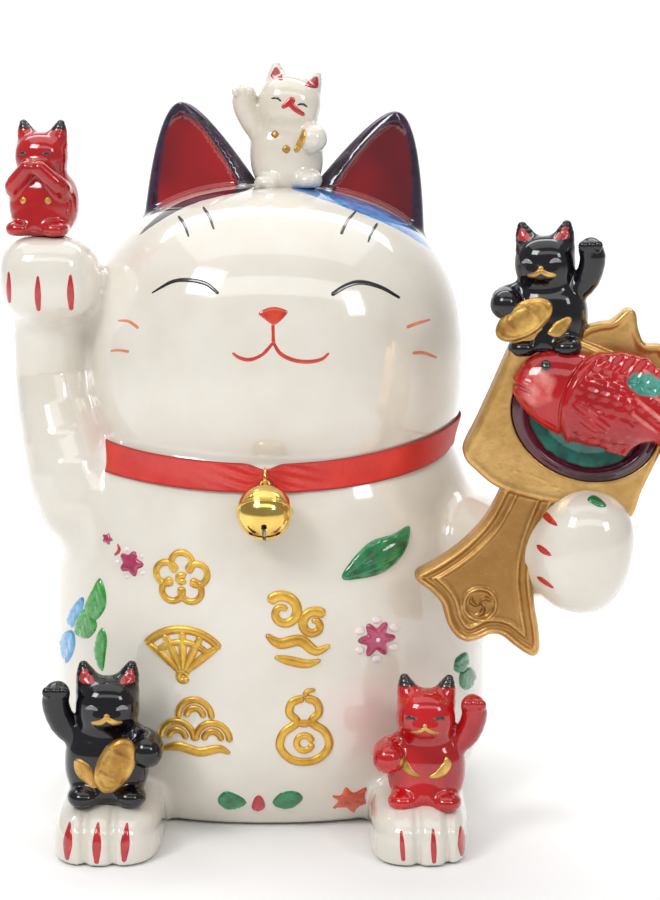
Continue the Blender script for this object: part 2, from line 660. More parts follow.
def paint_claws():
    def slit(f, x0, z0, x1, z1, w=1.5):
        mid = ((x0 + x1) / 2, (z0 + z1) / 2)
        return stroke(f, lined([(x0, z0), mid, (x1, z1)], [0.5, w, 0.9]), 0.14)
    put("raised_paw_claws", *join([
        slit(raised_arm, -56.2, 122.6, -56.4, 115.4, 1.3),
        slit(raised_arm, -49.6, 121.9, -49.8, 113.8, 1.5),
        slit(raised_arm, -42.6, 122.2, -42.7, 113.9, 1.6)]), CLAW_RED)
    put("left_foot_claws", *join([
        slit(left_foot, -41.2, 9.3, -41.9, 1.2, 2.2), slit(left_foot, -35.1, 9.6, -35.4, 0.9, 2.0),
        slit(left_foot, -29.0, 9.4, -29.6, 1.3, 2.0)]), CLAW_RED)
    put("right_foot_claws", *join([
        slit(right_foot, 28.9, 8.2, 29.4, 1.5, 1.1), slit(right_foot, 35.6, 8.6, 35.9, 1.0, 1.3),
        slit(right_foot, 41.6, 8.0, 42.2, 1.2, 2.0)]), CLAW_RED)
    put("holding_paw_claws", *join([
        stroke(holding_arm, [(58.2, 74.1, 0.9), (59.8, 73.2, 1.7), (61.6, 72.2, 0.4)], 0.16),
        stroke(holding_arm, [(57.5, 67.4, 0.9), (58.7, 66.7, 1.5), (60.4, 66.0, 0.4)], 0.16),
        stroke(holding_arm, [(57.6, 60.6, 0.8), (59.0, 60.0, 1.3), (61.0, 58.9, 0.4)], 0.16)]), CLAW_RED)


def ring(cx, cz, r, w, squash=1.0, a0=0, a1=360, count=15):
    angles = np.radians(np.linspace(a0, a1, count))
    return [(cx + r * math.cos(t), cz + r * squash * math.sin(t), w) for t in angles]


def paint_belly():
    """Generic lucky ornaments in gilded strokes, and sprays of enamel leaves and blossoms."""
    gold = []

    def brush(path, rise=0.6):
        gold.append(stroke(torso, [(x, z, w * 1.28) for x, z, w in path], rise, 0.4))

    cx, cz = -18.2, 57.6
    for k in range(5):
        t = math.radians(90 + 72 * k)
        brush(ring(cx + 3.5 * math.cos(t), cz + 3.3 * math.sin(t), 2.3, 1.15, 1, 90 + 72 * k - 150,
                   90 + 72 * k + 150, 11))
    brush(ring(cx, cz, 0.7, 1.3))
    cx, cz = -18.1, 38.4
    for k, r in enumerate((10.4, 7.6)):
        brush([(x, z, 1.5 - 0.3 * k) for x, z, _ in ring(cx, cz - 2.4, r, 1, 1, 38, 142, 11)])
    for t in (42, 66, 90, 114, 138):
        c, s_ = math.cos(math.radians(t)), math.sin(math.radians(t))
        brush([(cx + 0.6 * c, cz - 2.0 + 0.6 * s_, 0.9), (cx + 5.6 * c, cz - 2.0 + 5.6 * s_, 1.5),
               (cx + 10.2 * c, cz - 2.4 + 10.2 * s_, 1.1)])
    brush(ring(cx, cz - 2.4, 1.0, 1.2))
    cx, cz = -15.6, 24.6
    for dx, dz in ((-3.9, -1.5), (3.9, -1.5), (0, 3.6)):
        for r in (3.7, 1.9):
            brush(ring(cx + dx, cz + dz - 1.2, r, 1.25, 1.05, -6, 186, 11))
    brush([(cx - 7.6, cz - 5.4, 0.8), (cx - 3.6, cz - 4.5, 1.7), (cx + 1.0, cz - 5.5, 1.7),
           (cx + 5.2, cz - 4.6, 1.5),
           (cx + 7.8, cz - 5.6, 0.6)])
    cx, cz = 6.4, 47.4
    spiral = [(cx - 2.6 + (0.6 + 3.4 * u) * math.cos(8.4 * u + 0.4),
               cz + 3.2 + (0.6 + 3.4 * u) * math.sin(8.4 * u + 0.4),
               1.1 + 0.9 * u) for u in np.linspace(0, 1, 15)]
    brush(spiral)
    spiral = [(cx + 4.0 + (0.5 + 2.7 * u) * math.cos(-8.0 * u + 2.4),
               cz + 0.4 + (0.5 + 2.7 * u) * math.sin(-8.0 * u + 2.4),
               1.1 + 0.8 * u) for u in np.linspace(0, 1, 14)]
    brush(spiral)
    brush([(cx - 6.4, cz - 1.6, 0.8), (cx - 3.4, cz - 3.6, 1.9), (cx + 1.0, cz - 3.0, 2.0),
           (cx + 4.4, cz - 5.4, 1.7),
           (cx + 7.6, cz - 4.2, 0.7)])
    brush([(cx - 4.6, cz - 6.6, 0.7), (cx - 1.4, cz - 7.4, 1.7), (cx + 2.6, cz - 8.2, 1.5),
           (cx + 5.6, cz - 7.4, 0.6)])
    cx, cz = 8.2, 24.6
    brush([(cx + x, cz + z, 1.5) for x, z in ((0.2, 7.0), (-2.5, 6.0), (-3.1, 3.6), (-1.5, 1.5),
                                              (-4.4, -0.8), (-5.2, -4.0),
                                              (-3.0, -6.8), (0.2, -7.6), (3.4, -6.8), (5.5, -4.0),
                                              (4.6, -0.8),
                                              (1.7, 1.5), (3.3, 3.6), (2.7, 6.0), (0.2, 7.0))])
    brush([(cx - 2.0, cz + 1.6, 0.9), (cx, cz + 1.2, 1.4), (cx + 2.2, cz + 1.6, 0.9)])
    brush([(cx + 0.2, cz + 7.2, 1.3), (cx + 0.8, cz + 8.4, 1.0), (cx + 2.6, cz + 8.8, 0.6)])
    brush(ring(cx + 0.1, cz - 3.2, 1.7, 1.2))
    put("belly_gold_ornaments", *join(gold), GOLD, replaces=["gold_reliefs"], slot="gilding")

    def vein(a, b, n=0.25):
        a, b = np.array(a), np.array(b)

        def ribs(v, dep):
            ab = b - a
            t = np.clip(((v - a) @ ab) / (ab @ ab), 0, 1)
            off = np.linalg.norm(v - a - t[:, None] * ab, axis=1)
            return -n * np.exp(-(off / 0.28) ** 2) + 0.10 * np.sin(off * 5.0 - t * 22.0) * (dep > 0.3)
        return ribs
    leaf = smooth_loop([(16.4, 57.6), (18.4, 61.3), (22.6, 65.2), (27.6, 66.4), (31.2, 67.8), (31.0, 64.0),
                        (28.9, 60.6),
                        (25.2, 58.2), (20.8, 57.4)], 56)
    greens = [fill(torso, leaf, 0.7, 0.5, 1.0, ribs=vein((16.6, 57.7), (30.6, 67.0)))]
    for outline, a, b in (
            ([(42.0, 36.2), (44.4, 36.8), (45.4, 34.4), (43.8, 32.4), (41.6, 33.6)], (41.8, 34.6),
             (45.2, 35.2)),
            ([(43.2, 32.8), (45.8, 32.6), (47.2, 29.6), (45.2, 27.6), (43.0, 29.6)], (43.4, 31.6),
             (46.6, 28.8)),
            ([(-10.9, 7.4), (-9.2, 9.8), (-6.4, 9.0), (-4.4, 7.0), (-6.6, 5.2), (-9.4, 5.2)], (-10.6, 7.4),
             (-4.8, 7.2)),
            ([(1.2, 7.0), (3.2, 9.6), (6.4, 9.9), (8.0, 8.0), (5.8, 5.6), (3.0, 5.4)], (1.6, 7.0),
             (7.6, 8.2))):
        greens.append(fill(torso, smooth_loop(outline, 36), 0.6, 0.45, 0.8, ribs=vein(a, b, 0.2)))
    put("belly_dark_leaves", *join(greens), GREEN, replaces=["leaf_reliefs"], slot="green_enamel")
    side = [fill(torso, smooth_loop(o, 40), 0.6, 0.45, 0.8, ribs=vein(a, b, 0.2)) for o, a, b in (
        ([(-36.9, 55.6), (-39.2, 51.6), (-40.6, 48.0), (-38.4, 45.6), (-35.6, 49.0), (-35.4, 52.8)],
         (-37, 55), (-38.4, 46)),
        ([(-40.2, 48.2), (-42.6, 45.4), (-43.0, 41.6), (-39.8, 41.4), (-37.6, 44.4), (-38.2, 46.8)],
         (-39.6, 47.6), (-41.8, 42)),
        ([(-36.4, 44.6), (-38.0, 41.6), (-38.2, 37.6), (-36.4, 34.6), (-35.6, 38.6), (-35.2, 42.6)],
         (-36.2, 44), (-36.6, 35.4)))]
    put("belly_light_leaves", *join(side), LIGHT_GREEN)
    blue = [fill(torso, smooth_loop(o, 40), 0.5, 0.45, 0.7, start=-60, ribs=vein(a, b, 0.2))
            for o, a, b in (
        ([(-41.0, 50.6), (-43.6, 47.6), (-45.4, 43.6), (-43.8, 42.6), (-42.0, 45.6), (-40.8, 48.4)],
         (-41.2, 50), (-44.6, 43.2)),
        ([(-43.8, 42.0), (-46.6, 40.0), (-47.6, 36.6), (-46.0, 33.4), (-44.0, 36.0), (-43.0, 39.4)],
         (-43.8, 41.6), (-46.2, 34)))]
    put("belly_blue_leaf", *join(blue), BLUE, replaces=["blue_leaf_relief"], slot="blue_enamel")

    def blossom(cx, cz, r, petals, deep=0.34, turn=0.0):
        t = np.linspace(0, 2 * math.pi, petals * 9, endpoint=False)
        rr = r * (1 - deep / 2 + deep / 2 * np.cos(petals * (t - turn)))
        return np.stack([cx + rr * np.cos(t), cz + rr * np.sin(t)], 1)
    put("belly_pink_blossoms", *join([
        fill(torso, blossom(24.1, 43.8, 4.2, 6, 0.42), 0.85, 0.4, 0.9),
        fill(torso, blossom(-29.5, 59.9, 2.9, 5), 0.5, 0.35, 0.6),
        fill(torso, blossom(-35.0, 64.4, 1.3, 5), 0.4, 0.3, 0.4)]), PINK, replaces=["flower_reliefs"],
        slot="pink_enamel")
    pale = []
    for cx, cz, r, count, size in ((24.1, 43.8, 4.3, 6, 1.1), (-29.5, 59.9, 3.1, 5, 0.7)):
        for k in range(count):
            t = 2 * math.pi * (k + 0.5) / count
            pale.append(fill(torso, blossom(cx + r * math.cos(t), cz + r * math.sin(t), size, 2, 0.2),
                             0.5, 0.35, 0.5))
    pale.append(fill(torso, blossom(24.1, 43.8, 1.0, 5), 1.0, 0.3, 0.5))
    put("belly_pale_petals", *join(pale), PALE)
    put("belly_crimson_bud", *join([
        fill(torso, smooth_loop([(-3.4, 5.4), (-2.8, 8.0), (-1.8, 9.0), (-0.8, 8.0), (-0.4, 5.6),
                                 (-1.9, 4.6)], 30), 0.6, 0.4, 0.6),
        stroke(torso, lined([(-33.4, 61.0), (-32.2, 62.4), (-32.6, 63.8)], [0.4, 0.8, 0.4]),
               0.25)]), CRIMSON)
    put("belly_orange_leaf", *join([
        fill(torso, smooth_loop([(13.8, 8.6), (16.2, 8.4), (17.4, 10.4), (19.2, 8.8), (22.2, 10.2),
                                 (21.8, 7.4), (24.0, 5.6),
                                 (20.6, 5.0), (19.0, 3.0), (17.2, 5.0), (14.4, 4.8), (15.6, 6.8)], 60),
                                 0.6, 0.45, 0.7,
             ribs=vein((14.4, 7.0), (23.0, 6.6), 0.2))]), ORANGE)
    put("holding_paw_leaf", *fill(holding_arm,
                                  smooth_loop([(67.8, 77.4), (69.2, 78.2), (71.0, 77.4), (71.8, 76.2),
                                               (70.0, 76.2)], 28),
                                  0.4, 0.4, 0.5), GREEN)


paint_face()
paint_claws()
paint_belly()


# ------------------------------------------------------------ the small cats
def black_ears(n, colour):
    rough_edge = n.math("MULTIPLY", n.math("SUBTRACT", n.noise(700, 2), 0.5), 0.06)
    return n.mix(n.ramp(n.math("ADD", n.attr("crown"), rough_edge), 0.885, 0.90), colour,
                 (0.02, 0.016, 0.018))


MINI_RED = glaze("mini_red_glaze", (0.60, 0.007, 0.010), (0.32, 0.003, 0.006), rough=0.07, wave=0.3,
                 paint=black_ears, coat=0.7)
MINI_BLACK = glaze("mini_black_glaze", (0.007, 0.006, 0.009), (0.003, 0.002, 0.005), rough=0.06,
                   wave=0.3, coat=0.35)
MINI_WHITE = glaze("mini_white_glaze", (0.84, 0.80, 0.72), (0.74, 0.68, 0.57), rough=0.09, wave=0.3)
COIN_GOLD = gilding("coin_gold", (0.86, 0.56, 0.16), (0.42, 0.21, 0.05), 0.24)
PALE_EYE = enamel("mini_pale_eye", (0.30, 0.29, 0.30), (0.16, 0.15, 0.16))
EAR_RED = enamel("mini_ear_red", (0.50, 0.03, 0.03), (0.28, 0.008, 0.012))


class Mini:
    """A small seated cat, worked out upright on z = 0 facing the front and then set in its seat."""
    def __init__(self, name, seat, height, side, arms, turn, lean, mat, head_roll=0.0, big=1.0, tuck=0.0):
        self.name, self.seat, self.h, self.side, self.arms = name, np.array(seat), height, side, arms
        self.turn, self.lean, self.mat, self.roll = turn, lean, mat, head_roll
        h, s, k = height, side, tuck

        def v(*c):
            return tuple(h * share for share in c)
        skull = ball(v(0, -0.02, 0.665), v(0.222 * big, 0.20 * big, 0.205 * big), 2.3)
        ears = [limb([v(e * 0.125, 0.01, 0.80), v(e * 0.148, 0.01, 0.87), v(e * 0.165, 0.01, 0.94)],
                     [0.092 * h, 0.07 * h, 0.036 * h], 5) for e in (-1, 1)]
        muzzle = ball(v(0, -0.19, 0.615), v(0.085, 0.04, 0.05))
        belly = ball(v(0, 0.02, 0.27), v(0.295, 0.24, 0.30), 2.4)
        feet = [ball(v(e * 0.16, -0.175, 0.062), v(0.112, 0.125, 0.078), 2.1) for e in (-1, 1)]
        if arms == "beckon":
            arms = [limb([v(s * 0.17, 0, 0.42), v(s * (0.30 - k), -0.02, 0.53),
                          v(s * (0.355 - k), -0.05, 0.68),
                          v(s * (0.345 - k), -0.06, 0.76)], [0.09 * h, 0.092 * h, 0.095 * h, 0.09 * h]),
                    limb([v(-s * 0.17, -0.03, 0.46), v(-s * (0.28 - k), -0.12, 0.42),
                          v(-s * (0.27 - k), -0.21, 0.39)],
                         [0.085 * h, 0.10 * h, 0.115 * h])]
        else:
            arms = [limb([v(e * 0.19, -0.05, 0.36), v(e * 0.20, -0.17, 0.42), v(e * 0.055, -0.235, 0.575)],
                         [0.08 * h, 0.078 * h, 0.07 * h]) for e in (-1, 1)]
        toes = [ball(v(s * (0.355 - k) + t * 0.055, -0.135, 0.79), v(0.035, 0.03, 0.04))
                for t in (-1, 0, 1)]
        lap = ball(v(0, -0.05, 0.09), v(0.215, 0.19, 0.13), 2.0)
        roll_at = v(0, 0, 0.5)

        def top(x, y, z):
            x, y, z = turned(x, y, z, roll_at, self.roll, "y")
            d = smin(skull(x, y, z), np.minimum(ears[0](x, y, z), ears[1](x, y, z)), 0.05 * h)
            return smin(d, muzzle(x, y, z), 0.05 * h)

        def field(x, y, z):
            d = smin(smin(belly(x, y, z), lap(x, y, z), 0.08 * h), top(x, y, z), 0.07 * h)
            d = smin(d, np.minimum(feet[0](x, y, z), feet[1](x, y, z)), 0.035 * h)
            for a in arms:
                d = smin(d, a(x, y, z), 0.035 * h)
            if self.arms == "beckon":
                d = smin(d, np.minimum(np.minimum(toes[0](x, y, z), toes[1](x, y, z)),
                                       toes[2](x, y, z)), 0.02 * h)
            return smax(d, -z, 0.02 * h)
        self.f = field

    def world(self, p):
        a, t = math.radians(self.lean), math.radians(self.turn)
        x, y, z = p.T
        x, z = x * math.cos(a) + z * math.sin(a), -x * math.sin(a) + z * math.cos(a)
        x, y = x * math.cos(t) - y * math.sin(t), x * math.sin(t) + y * math.cos(t)
        return np.stack([x, y, z], 1)

    def rolled(self, pts):
        """Front-view points on the head, turned with it."""
        a = math.radians(self.roll)
        out = []
        for x, z, *w in pts:
            dz = z - 0.5
            out.append((x * math.cos(a) + dz * math.sin(a), 0.5 - x * math.sin(a) + dz * math.cos(a), *w))
        return out

    def place(self, verts):
        return self.world(np.asarray(verts)) + self.seat

    def body(self, slot_name):
        h = self.h
        p, q = net(self.f, (-0.5 * h, -0.42 * h, -0.04 * h), (0.5 * h, 0.32 * h, 1.04 * h),
                   0.4)
        put(self.name + "_figure", self.place(p), q, self.mat, self.world(normals_of(self.f, p)),
            {"crown": p[:, 2] / h}, [self.name], slot=slot_name)

    def brush(self, path, rise=0.16, head=True):
        pts = self.rolled(path) if head else path
        v, f = stroke(self.f, [(x * self.h, z * self.h, w * self.h) for x, z, w in pts], rise, 0.3,
                      -0.6 * self.h)
        return self.place(v), f

    def patch(self, outline, rise=0.2, head=True, edge=0.4):
        pts = self.rolled(outline) if head else outline
        v, f = fill(self.f, smooth_loop([(x * self.h, z * self.h) for x, z in pts], 26), rise, 0.35, edge,
                    -0.6 * self.h)
        return self.place(v), f

    def ear_patches(self):
        return [self.patch([(e * 0.085, 0.85), (e * 0.145, 0.925), (e * 0.175, 0.925), (e * 0.195, 0.85),
                            (e * 0.14, 0.835)],
                           0.12) for e in (-1, 1)]

    def eyes(self, w=0.03):
        return [self.brush([(e * 0.15, 0.685, 0.012), (e * 0.105, 0.702, w), (e * 0.06, 0.683, 0.012)],
                           0.12) for e in (-1, 1)]

    def whiskers(self, w=0.03):
        return [self.brush([(0, 0.665, w * 1.5), (0, 0.63, w * 1.2)], 0.18),
                self.brush([(0.005, 0.635, w), (-0.05, 0.60, w * 1.2), (-0.11, 0.592, w * 0.8)], 0.18),
                self.brush([(-0.005, 0.635, w), (0.05, 0.60, w * 1.2), (0.11, 0.592, w * 0.8)], 0.18)]


def coin_piece(mini, at, radii, turn, name, replaces):
    """The gilded oblong coin that a cat hugs: a slightly domed oval with a raised rim and two cross bars."""
    h = mini.h
    c = (at[0] * h, at[1] * h, at[2] * h)
    rx, ry, rz = (r * h for r in radii)

    def f(x, y, z):
        x, y, z = turned(x, y, z, c, turn, "y")
        u, w = (x - c[0]) / rx, (z - c[2]) / rz
        e = np.sqrt(u * u + w * w)
        rim = 0.28 * np.exp(-((e - 0.84) / 0.09) ** 2)
        bars = 0.16 * (np.exp(-((w - 0.42) / 0.08) ** 2) + np.exp(-((w + 0.42) / 0.08) ** 2)) * (e < 0.8)
        face = np.abs(y - c[1] - 0.6 * u * u) - ry * (1 - 0.35 * e * e) - rim - bars
        return smax((e - 1) * rx * 0.9, face, 0.35)
    p, q = net(f, (c[0] - rz - 1, c[1] - 3, c[2] - rz - 1), (c[0] + rz + 1, c[1] + 3, c[2] + rz + 1),
               0.28)
    put(name, mini.place(p), q, COIN_GOLD, mini.world(normals_of(f, p)), replaces=replaces, slot="gilding")


def make_minis():
    top = RAISED_PAW[2] + 9.2
    white = Mini("white_cat_on_head", (4.6, 2.0, 139.0), 28.5, -1, "beckon", 0, -4, MINI_WHITE,
                 17, 1.13, 0.05)
    red1 = Mini("red_cat_on_paw", (-49.6, -12.5, top), 26.0, -1, "hide", -12, 0, MINI_RED)
    black1 = Mini("black_cat_on_mallet", (60.2, -42.0, 107.2), 28.6, 1, "beckon", -14, -3, MINI_BLACK)
    black2 = Mini("black_cat_on_foot", (-34.2, -48.0, 11.3), 31.0, -1, "beckon", 4, 1, MINI_BLACK)
    red2 = Mini("red_cat_on_foot", (34.6, -48.0, 10.3), 29.0, 1, "beckon", -5, 0, MINI_RED)
    for m, slot_name in ((white, "white_glaze"), (red1, "red_glaze"), (black1, "black_glaze"),
                         (black2, "black_glaze"),
                         (red2, "red_glaze")):
        m.body(slot_name)
    gold = white.brush
    put("white_cat_gold_marks", *join([
        white.patch([(-0.11, 0.44), (-0.075, 0.475), (-0.045, 0.44), (-0.075, 0.41)], 0.3, False),
        white.patch([(-0.03, 0.32), (0.005, 0.355), (0.04, 0.32), (0.005, 0.285)], 0.3, False),
        gold([(0.16, 0.47, 0.03), (0.13, 0.38, 0.06), (0.07, 0.29, 0.04)], 0.25, False)]), COIN_GOLD)
    put("white_cat_red_marks", *join([
        white.brush([(0.03, 0.735, 0.06), (0.0, 0.69, 0.055), (-0.05, 0.635, 0.03)], 0.2),
        white.brush([(-0.01, 0.695, 0.05), (0.06, 0.65, 0.045), (0.14, 0.62, 0.03)], 0.2)]), CLAW_RED)
    put("white_cat_ears", *join(white.ear_patches()), EAR_RED)
    put("white_cat_eyes", *join(white.eyes(0.02)), BLACK_LINE)
    for m, key in ((red1, "red_paw_cat"), (red2, "red_foot_cat")):
        put(key + "_eyes", *join(m.eyes(0.03)), BLACK_LINE)
    necklace = [red1.patch([(-0.14, 0.30), (-0.115, 0.34), (-0.08, 0.31), (-0.11, 0.27)], 0.3, False),
                red1.patch([(0.08, 0.31), (0.115, 0.34), (0.14, 0.30), (0.11, 0.27)], 0.3, False)]
    put("red_paw_cat_gold", *join(necklace + red1.whiskers(0.024)[:1]), COIN_GOLD)
    necklace = [red2.brush([(-0.155, 0.415, 0.02), (-0.15, 0.35, 0.06), (-0.10, 0.285, 0.05),
                            (-0.03, 0.262, 0.015)], 0.3, False),
                red2.brush([(0.155, 0.405, 0.02), (0.16, 0.34, 0.07), (0.10, 0.275, 0.06),
                            (0.03, 0.258, 0.015)], 0.3, False)]
    put("red_foot_cat_gold", *join(necklace + red2.whiskers(0.024)), COIN_GOLD)
    for m, key in ((black1, "mallet_cat"), (black2, "foot_cat")):
        put(key + "_ears", *join(m.ear_patches()), EAR_RED)
        sash = [m.brush([(0.03, 0.17, 0.03), (0.11, 0.20, 0.11), (0.20, 0.28, 0.04)] if m is black1 else
                        [(-0.21, 0.33, 0.05), (-0.16, 0.25, 0.12), (-0.07, 0.14, 0.05)], 0.4, False)]
        put(key + "_gold", *join(m.whiskers(0.034) + sash), COIN_GOLD)
        put(key + "_eyes", *join(m.eyes(0.034)), PALE_EYE)
    coin_piece(black1, (-0.13, -0.27, 0.28), (0.125, 0.04, 0.235), 60, "mallet_cat_coin",
               ["black_cat_coin_on_mallet"])
    coin_piece(black2, (0.06, -0.27, 0.31), (0.125, 0.04, 0.205), 26, "foot_cat_coin",
               ["black_cat_coin_on_foot"])


make_minis()


# ------------------------------------------------------------ mallet, dish and sea bream
M_AT, M_TILT = (66.6, -44.0, 93.1), 23.0


def polygon(outline):
    """Signed distance to a closed outline of (across, up) points."""
    a = np.array(outline, f32)
    b = np.roll(a, -1, 0)

    def f(x, z):
        best = np.full(x.shape, 1e9, f32)
        odd = np.zeros(x.shape, bool)
        for (ax, az), (bx, bz) in zip(a, b):
            ex, ez = bx - ax, bz - az
            px, pz = x - ax, z - az
            t = np.clip((px * ex + pz * ez) / (ex * ex + ez * ez), 0, 1)
            best = np.minimum(best, (px - ex * t) ** 2 + (pz - ez * t) ** 2)
            hit = (az > z) != (bz > z)
            odd ^= hit & (x < ax + (z - az) / (ez if ez else 1e-9) * ex)
        return np.where(odd, -1, 1) * np.sqrt(best)
    return f


def on_mallet(p):
    a = math.radians(M_TILT)
    x, y, z = p.T
    return np.stack([x * math.cos(a) + z * math.sin(a), y, -x * math.sin(a) + z * math.cos(a)], 1)


PLAQUE = polygon(smooth_loop([(-19.4, 15.6), (-19.9, 8), (-19.9, 0), (-20.0, -8), (-20.0, -15.6),
                              (-15.6, -18.2), (-9.7, -19.6),
                              (-0.8, -18.6), (8, -16.6), (17.6, -15.4), (17.9, -8), (18.2, 0), (18.6, 8),
                              (18.6, 15.0),
                              (10, 15.8), (0, 15.9), (-10, 15.8)], 90))
CREST = polygon(smooth_loop([(-10.5, 10), (-7.4, 17.8), (-4.6, 20.6), (-2.2, 22.2), (-0.4, 25.6),
                             (1.6, 25.6), (3.6, 22.6),
                             (6.2, 20.4), (9.2, 21.4), (11.8, 20.4), (14.4, 22.4), (16.4, 25.2),
                             (17.8, 24.2), (17.6, 18), (17, 10)], 90))
HANDLE = polygon(smooth_loop([(-9.2, -14), (-9.3, -19), (-9.9, -27), (-12.4, -34.0), (-15.8, -39.6),
                              (-18.7, -43.4), (-18.0, -45.0),
                              (-14.4, -46.0), (-11.2, -47.6), (-8.6, -50.8), (-5.6, -52.9), (-2.8, -53.1),
                              (-0.6, -51.6),
                              (1.2, -49.6), (3.6, -49.0), (7.2, -50.0), (11.2, -50.6), (12.2, -48.8),
                              (10.2, -44.6),
                              (7.4, -40.2), (4.0, -34), (2.2, -27), (1.9, -19), (1.9, -14)], 110))
DISH_AT, DISH_R = (0.6, 1.2), (16.0, 12.8)


def dish_ring(x, z):
    """0 at the dish's outline and negative inside, in millimetres."""
    u, w = (x - DISH_AT[0]) / DISH_R[0], (z - DISH_AT[1]) / DISH_R[1]
    return (np.sqrt(u * u + w * w) - 1) * 13.8


def handle_rim(d):
    """Two raised lines that follow the handle's edge."""
    return 1.0 * np.exp(-((d + 0.9) / 0.6) ** 2) + 0.6 * np.exp(-((d + 3.2) / 0.45) ** 2)


def mallet_field(x, y, z):
    pd, hd, cd = PLAQUE(x, z), HANDLE(x, z), CREST(x, z)
    swell = 0.12 * np.exp(-((pd + 1.0) / 0.8) ** 2)
    plaque = smax(pd, np.abs(y) - 4.0 - swell, 1.2)
    rim = handle_rim(hd)
    ring_d = np.sqrt((x + 3.6) ** 2 + (z + 44.4) ** 2)
    boss = 0.7 * np.exp(-((ring_d - 3.4) / 0.42) ** 2) - 0.15 * np.clip(3.4 - ring_d, 0, 1)
    ang = np.arctan2(z + 44.4, x + 3.6)
    swirl = 0.6 * np.clip(np.cos(ang * 3 + ring_d * 1.5), 0, 1) ** 2 * np.clip((2.9 - ring_d) / 0.6, 0, 1)
    handle = smax(hd, np.abs(y) - 2.5 - rim - boss - swirl, 0.7)
    crest = smax(cd, np.abs(y - 1.2) - 2.0 - 0.45 * np.exp(-((cd + 0.9) / 0.7) ** 2), 0.7)
    d = smin(smin(plaque, handle, 0.8), crest, 0.5)
    return smax(d, -smax(dish_ring(x, z) - 0.1, y + 1.3, 0.5), 0.5)


def dish_field(x, y, z):
    e = dish_ring(x, z)
    lip = 0.9 * np.exp(-((e + 1.7) / 0.85) ** 2)
    bowl = -1.6 - 2.7 - lip + 1.9 * np.clip(-(e + 2.8) / 3.0, 0, 1) ** 0.7
    return smax(smax(e, y + 1.3, 0.3), bowl - y, 0.5)


def antique(n, colour):
    """Bright where the relief has been rubbed, brown in the flat of the handle."""
    return n.mix(n.math("MULTIPLY", n.attr("flat"), 0.75), colour, (0.30, 0.135, 0.035))


MALLET_GOLD = gilding("mallet_gold", (0.74, 0.46, 0.17), (0.56, 0.32, 0.10), 0.22, antique)


def dish_paint(n, colour):
    edge = n.math("MULTIPLY", n.math("SUBTRACT", n.noise(500, 2), 0.5), 0.8)
    teal = n.mix(n.ramp(n.noise(170, 3), 0.35, 0.65), (0.008, 0.10, 0.085), (0.03, 0.30, 0.22))
    return n.mix(n.ramp(n.math("ADD", n.attr("depth"), edge), -3.0, -3.5), colour, teal)


DISH = glaze("dish_glaze", (0.10, 0.008, 0.022), (0.030, 0.003, 0.012), paint=dish_paint,
             rough=0.07, coat=0.6)
B_AT, B_TILT = (71.2, -48.6, 96.9), 17.0


def along(points):
    """A smooth height read off (across, height) points."""
    q = spline([(a, b) for a, b in points], 40)
    return lambda x: np.interp(x, q[:, 0], q[:, 1])


BACK = along([(-20, 0.3), (-19.2, 3.6), (-17.0, 6.6), (-13.0, 8.8), (-6, 10.0), (0, 10.0), (6, 8.6),
              (11, 5.4), (14.5, 3.2), (17, 2.4)])
BELLY = along([(-20, 0.3), (-18.8, 2.6), (-16.0, 5.0), (-11.5, 7.2), (-5, 8.6), (1, 8.4), (7, 6.6),
               (11, 4.4), (14.5, 2.8), (17, 2.2)])


